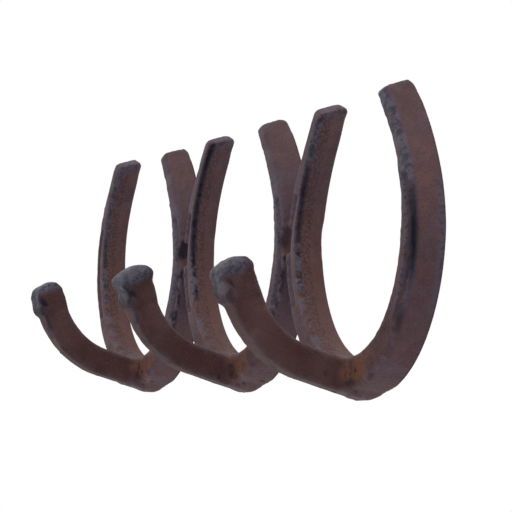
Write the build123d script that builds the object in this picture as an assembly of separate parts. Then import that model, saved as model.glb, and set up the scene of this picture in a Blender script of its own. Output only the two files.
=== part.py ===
"""Wall rack of three horseshoes, cast in iron as one piece, with a hook at each toe.

Millimetres, +Z up. The wall is the plane y = 0 and the room lies towards -Y. The origin is on the
wall, midway between the two screw holes.
"""
import os
from math import cos, radians, sin

from build123d import *

# Horseshoe bar: centreline of one half, from the middle of the toe to the heel
toe_radius = 38.5
toe_turn = 53.0
quarter_radius = 47.5
quarter_turn = 58.5
branch_radius = 74.5
branch_turn = 23.0

# Horseshoe bar: section, seen along the bar with the wall behind it
toe_width = 10.6
quarter_width = 8.7
heel_width = 4.5
bar_depth = 10.3
outer_flare = 2.1
inner_lean = 1.4
front_chamfer = 1.1

# Heel ends
heel_slant = 25.0
heel_bevel = 18.0
heel_front_round = 2.2
heel_back_round = 1.6
trim_turn = 4.0
trim_clearance = 0.02

# Fuller groove on the front of each branch, near its outer edge, between two turns from the toe
fuller_width = 3.0
fuller_depth = 1.3
fuller_lip = 1.4
fuller_start = 63.0
fuller_end = 108.0

# Row and screw holes
shoe_sizes = (0.93, 0.94, 1.0)
shoe_overlap = 1.6
boss_diameter = 13.0
boss_depth = 6.8
screw_hole = 5.0
screw_head = 9.4

# Hook: bar bent upwards in the plane x = 0 of its shoe
hook_root_height = 3.4
hook_rise = 15.7
hook_run = 14.7
hook_bend_radius = 31.5
hook_tip_angle = 70.0
hook_width = 10.0
hook_thickness = 10.4
hook_round = 2.0

# Head of the hook, which nods away from the wall
head_length = 12.2
head_nod = 10.0
head_width = 11.2
head_lip = 1.0
head_taper = 0.5
head_swell = 4.0
head_round = 4.0
head_roll_over = 75.0

heel_turn = toe_turn + quarter_turn + branch_turn
widest_turn = 90.0


def bar_point(turn):
    """Centreline point (x, z) of the bar at a turn in degrees from the toe."""
    side = -1 if turn < 0 else 1
    left = abs(turn)
    x, z, heading = 0.0, 0.0, 0.0
    arcs = ((toe_radius, toe_turn), (quarter_radius, quarter_turn), (branch_radius, left))
    for radius, span in arcs:
        after = heading + min(left, span)
        x += radius * (sin(radians(after)) - sin(radians(heading)))
        z += radius * (cos(radians(heading)) - cos(radians(after)))
        left -= after - heading
        heading = after
    return side * x, z


def bar_width(turn):
    """Width of the front of the bar at a turn from the toe."""
    at = abs(turn)
    if at < widest_turn:
        return toe_width + (quarter_width - toe_width) * at / widest_turn
    return quarter_width + (heel_width - quarter_width) * (at - widest_turn) / (heel_turn - widest_turn)


half_width = bar_point(widest_turn)[0] + bar_width(widest_turn) / 2 + outer_flare
hole_height = bar_point(widest_turn)[1]
toe_bottom = -hole_height - toe_width / 2 - outer_flare


def bar_plane(turn):
    """Plane across the bar: x points out of the shoe, y to the wall, z along the bar."""
    x, z = bar_point(turn)
    angle = radians(turn)
    return Plane(
        origin=(x, 0, z - hole_height),
        x_dir=(sin(angle), 0, -cos(angle)),
        z_dir=(cos(angle), 0, sin(angle)),
    )


def bar_section(turn):
    """Section of the bar: flat to the wall, leaning sides, chamfered front corners."""
    half = bar_width(turn) / 2
    outline = Face(Wire.make_polygon([
        (-half, -bar_depth),
        (half, -bar_depth),
        (half + outer_flare, 0),
        (-half + inner_lean, 0),
    ]))
    corners = outline.vertices().sort_by(Axis.Y)
    return bar_plane(turn) * outline.chamfer_2d(front_chamfer, front_chamfer, corners[:2])


def heel_cut():
    """Stock to take off the right heel: a bevel that leaves the wall side longer, with rounds."""
    reach = 2 * bar_depth
    setback = bar_depth * sin(radians(heel_bevel))
    angle = radians(heel_turn - heel_slant)
    side = Plane(
        origin=bar_plane(heel_turn).origin,
        x_dir=(cos(angle), 0, sin(angle)),
        z_dir=(-sin(angle), 0, cos(angle)),
    )
    front, back = -bar_depth - trim_clearance, trim_clearance
    kept = Face(Wire.make_polygon([(-reach, back), (0, back), (-setback, front), (-reach, front)]))
    for corner, round_size in (((0, back), heel_back_round), ((-setback, front), heel_front_round)):
        kept = kept.fillet_2d(round_size, kept.vertices().sort_by_distance(Vertex(*corner))[:1])
    stock = Pos(0, -bar_depth / 2) * Rectangle(2 * reach, 2 * bar_depth)
    profile = side * (stock - kept)
    return extrude(profile, amount=bar_depth, both=True)


def fuller_groove():
    """Groove along the front of the right branch, a lip in from its outer edge."""
    steps = 4
    grooves = []
    for step in range(steps + 1):
        turn = fuller_start + (fuller_end - fuller_start) * step / steps
        out = bar_width(turn) / 2 - fuller_lip - fuller_width / 2
        groove = Pos(out, -bar_depth) * Rectangle(fuller_width, 2 * fuller_depth)
        grooves.append(bar_plane(turn) * groove)
    return loft(grooves)


def shoe_bar():
    """One horseshoe: the section carried round from heel to heel, heels cut, branches grooved."""
    steps = 10
    turns = [(heel_turn + trim_turn) * step / steps for step in range(-steps, steps + 1)]
    bar = loft([bar_section(turn) for turn in turns])
    for cutter in (heel_cut(), fuller_groove()):
        bar -= cutter
        bar -= mirror(cutter, Plane.YZ)
    return bar


hook_straight = bar_depth + hook_run
hook_bend = hook_bend_radius * radians(hook_tip_angle - hook_rise)
hook_length = hook_straight + hook_bend


def hook_plane(along):
    """Plane across the hook at a distance along its centreline: x to the side, y to the inside."""
    y, z, heading, left = 0.0, toe_bottom + hook_root_height, radians(hook_rise), along
    stretches = (
        (hook_straight, 0.0),
        (hook_bend, radians(hook_tip_angle - hook_rise)),
        (head_length, radians(-head_nod)),
    )
    for length, turn in stretches:
        part = min(left, length)
        half_turn = turn / 2 * part / length
        chord = part * sin(half_turn) / half_turn if half_turn else part
        y -= chord * cos(heading + half_turn)
        z += chord * sin(heading + half_turn)
        heading += 2 * half_turn
        left -= part
    return Plane(origin=(0, y, z), x_dir=(1, 0, 0), z_dir=(0, -cos(heading), sin(heading)))


def hook_bar():
    """Bent bar of the hook, from inside the toe to its head."""
    start = hook_plane(bar_depth / 2)
    bend_start, bend_end = hook_plane(hook_straight), hook_plane(hook_length)
    straight = Edge.make_line(start.origin, bend_start.origin)
    bend = Edge.make_tangent_arc(bend_start.origin, bend_start.z_dir, bend_end.origin)
    section = start * RectangleRounded(hook_width, hook_thickness, hook_round)
    return sweep(section, path=Wire([straight, bend]))


def hook_head():
    """Knob at the tip: it swells to the front and the sides, tapers at the back, and ends round."""
    steps = 3
    straight = head_length - head_round
    stations = [(straight * step / steps, 0.0) for step in range(steps + 1)]
    for step in range(1, steps + 1):
        angle = radians(head_roll_over * step / steps)
        stations.append((straight + head_round * sin(angle), head_round * (1 - cos(angle))))
    sections = []
    for past, inset in stations:
        swell = sin(radians(90 * min(1, past / head_swell)))
        width = hook_width + (head_width - hook_width) * swell - 2 * inset
        front = hook_thickness / 2 + head_lip * swell - inset
        back = hook_thickness / 2 - head_taper * swell - inset
        outline = Pos(0, (back - front) / 2) * RectangleRounded(width, front + back, hook_round)
        sections.append(hook_plane(hook_length + past) * outline)
    return loft(sections)


def hook_shoe():
    """One horseshoe with its hook."""
    return shoe_bar() + hook_bar() + hook_head()


def screw_boss():
    """Round boss on the wall side, where two shoes meet, to carry the screw."""
    return Rot(90, 0, 0) * Cylinder(
        boss_diameter / 2, boss_depth, align=(Align.CENTER, Align.CENTER, Align.MIN)
    )


def screw_cut():
    """Screw hole with a countersunk seat in the boss, open to the front for the screw head."""
    to_front = Rot(90, 0, 0)
    base = (Align.CENTER, Align.CENTER, Align.MIN)
    sink = (screw_head - screw_hole) / 2
    shank = Cylinder(screw_hole / 2, 2 * boss_depth)
    seat = Pos(0, 0, boss_depth - sink) * Cone(screw_hole / 2, screw_head / 2, sink, align=base)
    access = Pos(0, 0, boss_depth) * Cylinder(screw_head / 2, 2 * bar_depth, align=base)
    return to_front * (shank + seat + access)


shoe_places = [0.0]
for size, next_size in zip(shoe_sizes, shoe_sizes[1:]):
    shoe_places.append(shoe_places[-1] + half_width * (size + next_size) - shoe_overlap)
hole_places = [
    place + half_width * size - shoe_overlap / 2 for place, size in zip(shoe_places[:-1], shoe_sizes)
]
middle = (hole_places[0] + hole_places[-1]) / 2

shoe = hook_shoe()
shoes = [Pos(place - middle, 0, 0) * scale(shoe, by=size) for place, size in zip(shoe_places, shoe_sizes)]
holes = [Pos(place - middle, 0, 0) for place in hole_places]

rack = shoes[0]
for neighbour in shoes[1:]:
    rack += neighbour
for hole in holes:
    rack += hole * screw_boss()
for hole in holes:
    rack -= hole * screw_cut()

os.makedirs("parts", exist_ok=True)
export_step(rack, "parts/horseshoe_hook_rack.step")
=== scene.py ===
"""Dresses the cast horseshoe hook rack: rough iron skin, worn rust-brown paint, floor, light, camera."""
import logging
import math
from collections.abc import Callable
from dataclasses import dataclass
from enum import Enum

import bpy
import numpy as np
from mathutils import Matrix, Vector, noise


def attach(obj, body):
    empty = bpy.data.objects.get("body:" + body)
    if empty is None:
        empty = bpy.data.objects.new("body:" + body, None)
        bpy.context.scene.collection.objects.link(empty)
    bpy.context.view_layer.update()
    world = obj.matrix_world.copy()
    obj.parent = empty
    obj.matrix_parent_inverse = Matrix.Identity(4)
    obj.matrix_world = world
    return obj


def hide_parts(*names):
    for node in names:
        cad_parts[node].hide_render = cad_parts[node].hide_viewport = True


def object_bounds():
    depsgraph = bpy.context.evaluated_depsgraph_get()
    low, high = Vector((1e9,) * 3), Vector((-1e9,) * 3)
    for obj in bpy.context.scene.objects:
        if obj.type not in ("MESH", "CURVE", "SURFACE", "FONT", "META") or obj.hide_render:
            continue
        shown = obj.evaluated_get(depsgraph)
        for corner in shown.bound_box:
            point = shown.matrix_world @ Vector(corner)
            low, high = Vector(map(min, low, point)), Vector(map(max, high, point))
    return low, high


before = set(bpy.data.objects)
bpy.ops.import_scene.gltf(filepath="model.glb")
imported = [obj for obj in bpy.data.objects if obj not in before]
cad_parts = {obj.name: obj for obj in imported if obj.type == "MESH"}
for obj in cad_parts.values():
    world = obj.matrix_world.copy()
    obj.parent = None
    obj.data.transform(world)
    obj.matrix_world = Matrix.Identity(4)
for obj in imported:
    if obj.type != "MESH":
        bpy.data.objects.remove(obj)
CAD_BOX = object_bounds()

LOG = logging.getLogger("rack")
NODE = "horseshoe_hook_rack"
MM = 0.001
PHOTO_SIZE = 512
SENSOR_WIDTH = 36.0

Colour = tuple[float, float, float]
Point = tuple[float, float, float]
Pair = tuple[float, float]
# Start and end of a smooth rise from 0 to 1; a fall where the end is lower
Rise = tuple[float, float]
# Start and end of a value, and what they become
Ramp = tuple[float, float, float, float]


class Mask(Enum):
    """Masks that the iron skin carries on its vertices and the iron finish reads."""

    EDGE = "worn_edge"
    # Darker hollows, with painted shade at the top of the screw seats
    HOLLOW = "hollow"
    RUST = "fresh_rust"
    # Black band beside the right-hand edges, partly painted shade and partly black base coat
    BAND = "dark_band"
    # Worn blue-grey paint, together with painted highlights and reflections
    SHEEN = "wear_and_painted_highlight"
    STIPPLE = "stipple"
    PITS = "dark_pits"
    HOOK = "hook_bar"
    # Painted light: warm light on the low inner sides, cool light on the outer sides, the upper inner sides
    # and beside the screws
    WARM = "painted_warm_light"
    COOL = "painted_cool_light"


Masks = dict[Mask, np.ndarray]


def smooth_step(span: Rise, values: np.ndarray) -> np.ndarray:
    """Smooth rise from 0 to 1.

    Args:
        span: Values where the rise starts and ends.
        values: The values to map.

    Returns:
        The mapped values.
    """
    start, end = span
    share = np.clip((values - start) / (end - start), 0.0, 1.0)
    return share * share * (3.0 - 2.0 * share)


def at_least(least: float, share: np.ndarray) -> np.ndarray:
    """Shares from 0 to 1, lifted to lie between a least value and 1.

    Args:
        least: What a share of 0 becomes.
        share: The shares.

    Returns:
        The lifted shares.
    """
    return least + (1.0 - least) * share


def largest(*values: np.ndarray) -> np.ndarray:
    """The largest of several values at each point."""
    return np.maximum.reduce(values)


@dataclass(frozen=True)
class Grain:
    """Noise over the skin.

    Attributes:
        size: Size of its features, in millimetres.
        seed: Shift that tells one noise from another.
        layers: Number of layers, each half the size of the one before.
    """

    size: float
    seed: float
    layers: int = 2

    def at(self, points: np.ndarray) -> np.ndarray:
        """Noise between about -1 and 1.

        Args:
            points: Points in millimetres.

        Returns:
            One value per point.
        """
        layer_shift = 7.3
        scaled = points / self.size + self.seed
        total = np.zeros(len(points))
        strength = 1.0
        for _ in range(self.layers):
            total += strength * np.array([noise.noise(Vector(p)) for p in scaled.tolist()])
            scaled = scaled * 2.0 + layer_shift
            strength *= 0.5
        return total


@dataclass(frozen=True)
class Pits:
    """Round pits over the skin.

    Attributes:
        spacing: Mean distance between pits, in millimetres.
        radius: Radius of a pit, in millimetres.
        seed: Shift that tells one field of pits from another.
        floor: Share of the radius that is flat.
    """

    spacing: float
    radius: float
    seed: float
    floor: float = 0.3

    def at(self, points: np.ndarray) -> np.ndarray:
        """How deep in a pit each point lies.

        Args:
            points: Points in millimetres.

        Returns:
            1 in the middle of a pit and 0 outside.
        """
        scaled = (points / self.spacing + self.seed).tolist()
        distance = np.array([noise.voronoi(Vector(p))[0][0] for p in scaled]) * self.spacing
        return 1.0 - smooth_step((self.floor * self.radius, self.radius), distance)


@dataclass(frozen=True)
class ShoeForm:
    """Full-size shoe with its hook, in millimetres and degrees, with the sizes of the CAD source."""

    toe_radius: float = 38.5
    toe_turn: float = 53.0
    quarter_radius: float = 47.5
    quarter_turn: float = 58.5
    branch_radius: float = 74.5
    branch_turn: float = 23.0
    toe_width: float = 10.6
    quarter_width: float = 8.7
    heel_width: float = 4.5
    widest_turn: float = 90.0
    depth: float = 10.3
    outer_flare: float = 2.1
    inner_lean: float = 1.4
    hook_root: float = 3.4
    hook_rise: float = 15.7
    hook_run: float = 14.7
    hook_bend_radius: float = 31.5
    hook_tip_angle: float = 70.0
    hook_width: float = 10.0
    hook_thickness: float = 10.4
    head_nod: float = 10.0

    @property
    def heel_turn(self) -> float:
        """Turn of the bar from the toe to the heel."""
        return self.toe_turn + self.quarter_turn + self.branch_turn

    @property
    def half_width(self) -> float:
        """Half the width of the shoe, at the wall."""
        return self._half(self.widest_turn)[0] + self.quarter_width / 2 + self.outer_flare

    @property
    def toe_bottom(self) -> float:
        """Height of the lowest edge of the toe above the screw holes."""
        return -self._half(self.widest_turn)[1] - self.toe_width / 2 - self.outer_flare

    @property
    def head_lean(self) -> float:
        """Mean angle at which the hook's head rises."""
        return self.hook_tip_angle - self.head_nod / 2

    @property
    def neck(self) -> Pair:
        """Middle of the hook where its head starts.

        Returns:
            The point (y, z), with z from the height of the screw holes.
        """
        straight = self.depth + self.hook_run
        start, end = math.radians(self.hook_rise), math.radians(self.hook_tip_angle)
        run = straight * math.cos(start) + self.hook_bend_radius * (math.sin(end) - math.sin(start))
        rise = straight * math.sin(start) + self.hook_bend_radius * (math.cos(start) - math.cos(end))
        return -run, self.toe_bottom + self.hook_root + rise

    def centreline(self, turns: np.ndarray) -> np.ndarray:
        """Points of the bar's centreline.

        Args:
            turns: Signed turns from the toe.

        Returns:
            One (x, z) row per turn, with z from the height of the screw holes.
        """
        height = self._half(self.widest_turn)[1]
        points = [self._half(abs(turn)) for turn in turns]
        return np.array([(math.copysign(x, turn), z - height) for (x, z), turn in zip(points, turns)])

    def width(self, turns: np.ndarray) -> np.ndarray:
        """Width of the front of the bar.

        Args:
            turns: Signed turns from the toe.

        Returns:
            The width at each turn.
        """
        stations = (0.0, self.widest_turn, self.heel_turn)
        return np.interp(np.abs(turns), stations, (self.toe_width, self.quarter_width, self.heel_width))

    def hook_underside(self, back: np.ndarray) -> np.ndarray:
        """Height of the straight underside of the hook, carried on to the wall.

        Args:
            back: Distances to the wall, as y values.

        Returns:
            The height above the screw holes at each distance.
        """
        rise = math.radians(self.hook_rise)
        middle = self.toe_bottom + self.hook_root - back * math.tan(rise)
        return middle - self.hook_thickness / 2 / math.cos(rise)

    def _half(self, turn: float) -> Pair:
        """Point of the right half of the centreline, from the middle of the toe.

        Args:
            turn: Turn from the toe.

        Returns:
            The point (x, z).
        """
        x = z = heading = 0.0
        left = turn
        arcs = (
            (self.toe_radius, self.toe_turn),
            (self.quarter_radius, self.quarter_turn),
            (self.branch_radius, left),
        )
        for radius, span in arcs:
            after = heading + min(left, span)
            x += radius * (math.sin(math.radians(after)) - math.sin(math.radians(heading)))
            z += radius * (math.cos(math.radians(heading)) - math.cos(math.radians(after)))
            left -= after - heading
            heading = after
        return x, z


@dataclass(frozen=True)
class Shoe:
    """What sets one shoe of the row apart. Pairs are for its left and right branch.

    Attributes:
        size: Its size against a full-size shoe.
        band_strength: How black the dark bands are, partly painted shade, from 0 to 1.
        left_band: Width of the dark band on its left branch, in millimetres.
        left_dark_end: Turn from the toe where that band stops being black, in degrees.
        right_specks: How black the specks low on its right branch are, from 0 to 1.
        hook_wear: How much black shows through on the front of its hook, from 0 to 1.
        head_lip: How far the lip of its hook's head stands out, in millimetres.
        head_top: How much taller than the CAD's its hook's head is, in millimetres.
        head_shift: How much nearer to the wall its hook's head stands, in millimetres.
        heel_reach: How far its heels are drawn out, in millimetres.
        branch_bow: How far its branches are bent inwards, in millimetres.
    """

    size: float
    band_strength: Pair
    left_band: float
    left_dark_end: float
    right_specks: float
    hook_wear: float
    head_lip: float
    head_top: float
    head_shift: float
    heel_reach: Pair
    branch_bow: Pair = (0.0, 0.0)


@dataclass(frozen=True)
class ShoeRow:
    """The shoes from left to right, each run into the next.

    Attributes:
        form: The full-size shoe.
        shoes: The shoes.
        overlap: How far neighbours run into each other, in millimetres.
    """

    form: ShoeForm
    shoes: tuple[Shoe, ...]
    overlap: float = 1.6

    @property
    def sizes(self) -> np.ndarray:
        """Sizes of the shoes."""
        return np.array([shoe.size for shoe in self.shoes])

    @property
    def middles(self) -> np.ndarray:
        """Middles of the shoes along the wall.

        Returns:
            The x value of each, from midway between the screw holes, in millimetres.
        """
        halves = self.form.half_width * self.sizes
        middles = np.concatenate([[0.0], np.cumsum(halves[:-1] + halves[1:] - self.overlap)])
        holes = middles[:-1] + halves[:-1] - self.overlap / 2
        return middles - (holes[0] + holes[-1]) / 2

    @property
    def screw_offset(self) -> float:
        """Distance of the screw holes from midway between them, in millimetres."""
        return abs(self.middles[0] + self.form.half_width * self.sizes[0] - self.overlap / 2)


@dataclass(frozen=True)
class BarMap:
    """Where each point of the skin lies on its nearest shoe, in degrees and full-size millimetres.

    Attributes:
        row: The shoes.
        shoe: Which shoe is nearest.
        turn: Signed turn from the toe.
        out: Distance from the centreline, out of the shoe.
        back: Distance to the wall, as a y value.
        across: Distance sideways from the middle of the shoe.
        up: Height above the screw holes.
        hook_start: Distances in front of the bar over which it becomes hook.
        head_back: How far behind the neck a hook's head reaches.
    """

    row: ShoeRow
    shoe: np.ndarray
    turn: np.ndarray
    out: np.ndarray
    back: np.ndarray
    across: np.ndarray
    up: np.ndarray
    hook_start: Rise = (2.0, 0.6)
    head_back: float = 9.0

    @classmethod
    def of_points(cls, points: np.ndarray, row: ShoeRow) -> "BarMap":
        """Maps points onto the shoes.

        Args:
            points: Points in millimetres, one row each.
            row: The shoes.

        Returns:
            The map, in the order of the points.
        """
        turn_step = 1.0
        chunk = 4000
        heel = row.form.heel_turn
        turns = np.arange(-heel, heel + turn_step / 2, turn_step)
        line = row.form.centreline(turns)
        shoe = np.argmin(np.abs(points[:, :1] - row.middles[None]), axis=1)
        local = points.copy()
        local[:, 0] -= row.middles[shoe]
        local /= row.sizes[shoe][:, None]
        nearest = np.empty(len(points), int)
        for start in range(0, len(points), chunk):
            part = local[start:start + chunk][:, [0, 2]]
            gaps = ((part[:, None] - line[None]) ** 2).sum(axis=2)
            nearest[start:start + chunk] = gaps.argmin(axis=1)
        angle = np.radians(turns[nearest])
        offset = local[:, [0, 2]] - line[nearest]
        out = offset[:, 0] * np.sin(angle) - offset[:, 1] * np.cos(angle)
        return cls(row, shoe, turns[nearest], out, local[:, 1], local[:, 0], local[:, 2])

    @property
    def form(self) -> ShoeForm:
        """The full-size shoe."""
        return self.row.form

    @property
    def right(self) -> np.ndarray:
        """True on the right branches."""
        return self.turn > 0

    @property
    def along(self) -> np.ndarray:
        """Turn from the toe, without its sign."""
        return np.abs(self.turn)

    @property
    def half(self) -> np.ndarray:
        """Half the width of the front of the bar."""
        return self.form.width(self.turn) / 2

    @property
    def ahead(self) -> np.ndarray:
        """Distance in front of the bar; below 0 beside it."""
        return -self.back - self.form.depth

    @property
    def on_bar(self) -> np.ndarray:
        """1 on the shoes' bars and 0 on the hooks."""
        return smooth_step(self.hook_start, self.ahead)

    @property
    def head_front(self) -> np.ndarray:
        """Distance in front of the middle of the hook's head."""
        forward, rise, lean = self._from_neck()
        return forward * math.sin(lean) - rise * math.cos(lean)

    def head_share(self, span: Rise) -> np.ndarray:
        """How far up the hook's head each point lies.

        Args:
            span: Distances above the neck where the rise starts and ends.

        Returns:
            0 below the rise and 1 above it; 0 away from the hooks.
        """
        forward, rise, lean = self._from_neck()
        above = rise * math.sin(lean) + forward * math.cos(lean)
        return smooth_step(span, above) * (forward > -self.head_back)

    def from_screw(self, points: np.ndarray) -> np.ndarray:
        """Distance to the nearest screw's axis.

        Args:
            points: The points that are mapped, in millimetres.

        Returns:
            The distances, in millimetres.
        """
        return np.hypot(np.abs(points[:, 0]) - self.row.screw_offset, points[:, 2])

    def per_shoe(self, read: Callable[[Shoe], float]) -> np.ndarray:
        """A value of each point's shoe.

        Args:
            read: Takes the value from a shoe.

        Returns:
            One value per point.
        """
        return np.array([read(shoe) for shoe in self.row.shoes])[self.shoe]

    def per_branch(self, read: Callable[[Shoe], Pair]) -> np.ndarray:
        """A value of each point's branch.

        Args:
            read: Takes the values of the left and right branch from a shoe.

        Returns:
            One value per point.
        """
        return np.array([read(shoe) for shoe in self.row.shoes])[self.shoe, self.right.astype(int)]

    def _from_neck(self) -> tuple[np.ndarray, np.ndarray, float]:
        """Place of each point from the hook's neck.

        Returns:
            How far in front of the neck and above it each point lies, and the head's lean in radians.
        """
        neck_back, neck_up = self.form.neck
        return neck_back - self.back, self.up - neck_up, math.radians(self.form.head_lean)


@dataclass(frozen=True)
class SkinPoints:
    """Points of the smooth skin, with what the marks on it are worked out from.

    Attributes:
        points: Points in millimetres, one row each.
        normals: Their normals.
        bulge: How far each stands out of its surroundings, in millimetres.
        bar: Where they lie on the shoes.
        patchy: Coarse noise that breaks marks up.
        flecks: Fine noise that breaks marks up.
    """

    points: np.ndarray
    normals: np.ndarray
    bulge: np.ndarray
    bar: BarMap
    patchy: np.ndarray
    flecks: np.ndarray


@dataclass(frozen=True)
class PaintToneAndLight:
    """Tone of the paint and painted light: worn edges, dark hollows and pits, stippled inner sides, painted
    warm light on the low inner sides, and painted cool light on the outer sides, the upper inner sides and
    beside the screws.

    Rises are in full-size millimetres, or in degrees from the toe where their name ends in turn.
    """

    edge_bulge: Rise = (0.06, 0.34)
    edge_flecks: float = 0.05
    hollow_dip: Rise = (0.05, 0.34)
    hollow_turn: Rise = (60.0, 40.0)
    branch_hollows: float = 0.4
    hook_ahead: Rise = (-1.0, 5.0)
    hook_patches: float = 2.0
    inner_side: Rise = (2.8, 1.6)
    outer_side: Rise = (-0.6, 0.6)
    stipple_back: Rise = (-4.2, -5.4)
    warm_turn: Rise = (116.0, 84.0)
    warm_patches: float = 6.0
    screw_aside: Rise = (15.0, 6.0)
    screw_height: Rise = (48.0, 30.0)
    screw_cool: float = 2.0
    root_turn: Rise = (32.0, 14.0)
    root_ahead: Rise = (12.0, 4.0)
    pits: Pits = Pits(5.2, 1.15, 2.6)
    stray_pits: float = 0.12

    def read(self, skin: SkinPoints) -> Masks:
        """Works out the masks of the paint's tone.

        Args:
            skin: Points of the smooth skin.

        Returns:
            The masks.
        """
        bar = skin.bar
        inner = smooth_step(self.inner_side, bar.out + bar.half)
        outer = smooth_step(self.outer_side, bar.out - bar.half)
        # Painted warm light on the inner sides low down, towards the toe, where light from above falls
        warm = inner * smooth_step(self.warm_turn, bar.along + self.warm_patches * skin.patchy)
        aside = np.abs(np.abs(skin.points[:, 0]) - bar.row.screw_offset)
        by_screw = smooth_step(self.screw_aside, aside) * (1.0 - inner)
        by_screw = by_screw * smooth_step(self.screw_height, np.abs(skin.points[:, 2]))
        # Painted cool light on the outer sides, the upper inner sides and beside the screws
        cool = largest(outer, inner - warm, self.screw_cool * by_screw)
        hollow = smooth_step(self.hollow_dip, -skin.bulge)
        by_root = smooth_step(self.root_turn, bar.along) * smooth_step(self.root_ahead, bar.ahead)
        return {
            Mask.EDGE: smooth_step(self.edge_bulge, skin.bulge + self.edge_flecks * skin.flecks),
            Mask.HOLLOW: hollow * at_least(self.branch_hollows, smooth_step(self.hollow_turn, bar.along)),
            Mask.HOOK: smooth_step(self.hook_ahead, bar.ahead + self.hook_patches * skin.patchy),
            Mask.STIPPLE: inner * bar.on_bar * smooth_step(self.stipple_back, bar.back),
            Mask.WARM: warm * bar.on_bar,
            Mask.COOL: cool * bar.on_bar,
            Mask.PITS: self.pits.at(skin.points) * at_least(self.stray_pits, by_root),
        }


@dataclass(frozen=True)
class BandShadeWearAndHighlights:
    """Bands along the front of the branches, beside their right-hand edges: a black band that is partly
    painted shade in its shallow groove and along that edge and partly black base coat, a painted highlight
    line beside it, a painted reflection on the outer rim, a painted highlight on the heels, and worn
    blue-grey strips.

    Rises are in full-size millimetres, in degrees from the toe where their name ends in turn, or of a
    noise where it ends in level.
    """

    edge_flecks: float = 0.12
    edge_patches: float = 0.22
    right_widen_turn: Rise = (38.0, 56.0)
    right_widths: Pair = (1.5, 4.1)
    right_deep: float = 1.3
    left_deep: float = 0.2
    left_deep_share: float = 0.7
    deep_end: Rise = (1.2, 0.0)
    deep_flecks: float = 0.3
    band_inside: Rise = (-0.2, 1.1)
    band_outside: Rise = (-1.2, 0.2)
    dots: Grain = Grain(2.6, 40.3)
    dot_level: Rise = (-0.05, 0.30)
    turn_patches: float = 4.0
    polished_turn: Rise = (101.0, 106.0)
    polished_patches: float = 1.5
    polished_black: float = 0.55
    polished_sheen: float = 0.62
    right_dark_turn: Rise = (56.0, 84.0)
    right_black: float = 0.72
    blackest_turn: float = 84.0
    blackest_half: Rise = (20.0, 6.0)
    toe_blots: Grain = Grain(7.0, 84.0)
    toe_blot_level: Rise = (-0.1, 0.3)
    toe_blot_turn: Rise = (8.0, 16.0)
    toe_blot_black: float = 0.55
    specks: Grain = Grain(2.4, 27.7)
    speck_level: Rise = (-0.15, 0.2)
    speck_start_turn: Rise = (46.0, 54.0)
    speck_end_turn: Rise = (92.0, 82.0)
    left_start_turn: Rise = (62.0, 70.0)
    left_past_turn: Rise = (-4.0, 4.0)
    left_full_turn: float = 88.0
    left_full: float = 0.85
    left_sheen: float = 0.8
    left_sheen_turn: Rise = (92.0, 84.0)
    end_flecks: Grain = Grain(2.0, 17.5)
    end_fleck_level: Rise = (0.05, 0.35)
    end_fleck_black: float = 0.8
    line_gap: float = 0.6
    line_half: Rise = (1.1, 0.3)
    line_sheen: float = 0.55
    right_line_turn: Rise = (52.0, 64.0)
    left_line_turn: Rise = (70.0, 84.0)
    left_line: float = 0.5
    rim_back: Rise = (3.2, 1.2)
    rim_out: Rise = (0.0, 2.0)
    rim_start_turn: Rise = (52.0, 72.0)
    rim_end_turn: Rise = (112.0, 98.0)
    rim_sheen: float = 0.4
    heel_start_turn: Rise = (130.0, 133.5)
    heel_patches: float = 1.5
    heel_sheen: float = 0.4

    def read(self, skin: SkinPoints) -> Masks:
        """Works out how black the bands are, partly painted shade, and where the blue-grey of wear and
        painted highlights shows.

        Args:
            skin: Points of the smooth skin.

        Returns:
            The masks of the black bands, partly painted shade, and of the wear and painted highlights.
        """
        bar = skin.bar
        left_band = bar.per_shoe(lambda shoe: shoe.left_band)
        band_share = bar.per_branch(lambda shoe: shoe.band_strength)
        past = smooth_step(self.left_past_turn, bar.along - bar.per_shoe(lambda shoe: shoe.left_dark_end))
        dotted = smooth_step(self.dot_level, self.dots.at(skin.points))
        polished = smooth_step(self.polished_turn, bar.along + self.polished_patches * skin.patchy)
        polished = polished * bar.right
        from_edge = bar.half - np.sign(bar.turn) * bar.out
        from_edge = from_edge + self.edge_flecks * skin.flecks + self.edge_patches * skin.patchy
        wide = np.interp(bar.along, self.right_widen_turn, self.right_widths)
        wide = np.where(bar.right, wide, left_band)
        deep = np.where(bar.right, self.right_deep, self.left_deep + self.left_deep_share * left_band)
        behind = self.deep_flecks * skin.flecks - bar.ahead
        on_front = smooth_step(self.deep_end, behind - deep) * bar.on_bar
        # The black band beside the right-hand edge: painted shade in its groove and along the edge, with
        # black base coat in dots, specks and blots
        strip = smooth_step(self.band_inside, wide - from_edge)
        strip = strip * smooth_step(self.band_outside, from_edge) * on_front
        right_dark = self._right_dark(skin) * (1.0 - polished)
        dark = np.where(bar.right, right_dark, self._left_dark(skin, dotted, past))
        dark = largest(dark, self.polished_black * polished * dotted) * band_share
        # Painted highlight: a thin pale line along the groove's inner wall, beside the black band
        line = smooth_step(self.line_half, np.abs(from_edge - wide - self.line_gap)) * on_front
        left_line = self.left_line * smooth_step(self.left_line_turn, bar.along)
        line = line * np.where(bar.right, smooth_step(self.right_line_turn, bar.along), left_line)
        left_worn = past + smooth_step(self.left_sheen_turn, bar.along) * (1.0 - dotted)
        left_worn = self.left_sheen * left_worn * smooth_step(self.left_start_turn, bar.along)
        blue_grey = strip * np.where(bar.right, self.polished_sheen * polished * band_share, left_worn)
        # Painted highlight on the heel tips
        heel = smooth_step(self.heel_start_turn, bar.along + self.heel_patches * skin.patchy) * bar.on_bar
        # Painted reflection along the outer rim of the right branches
        rim = self._rim(bar)
        return {
            Mask.BAND: strip * largest(dark, self._specks(skin)),
            Mask.SHEEN: largest(self.line_sheen * line, blue_grey, self.rim_sheen * rim, self.heel_sheen * heel),
        }

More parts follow.
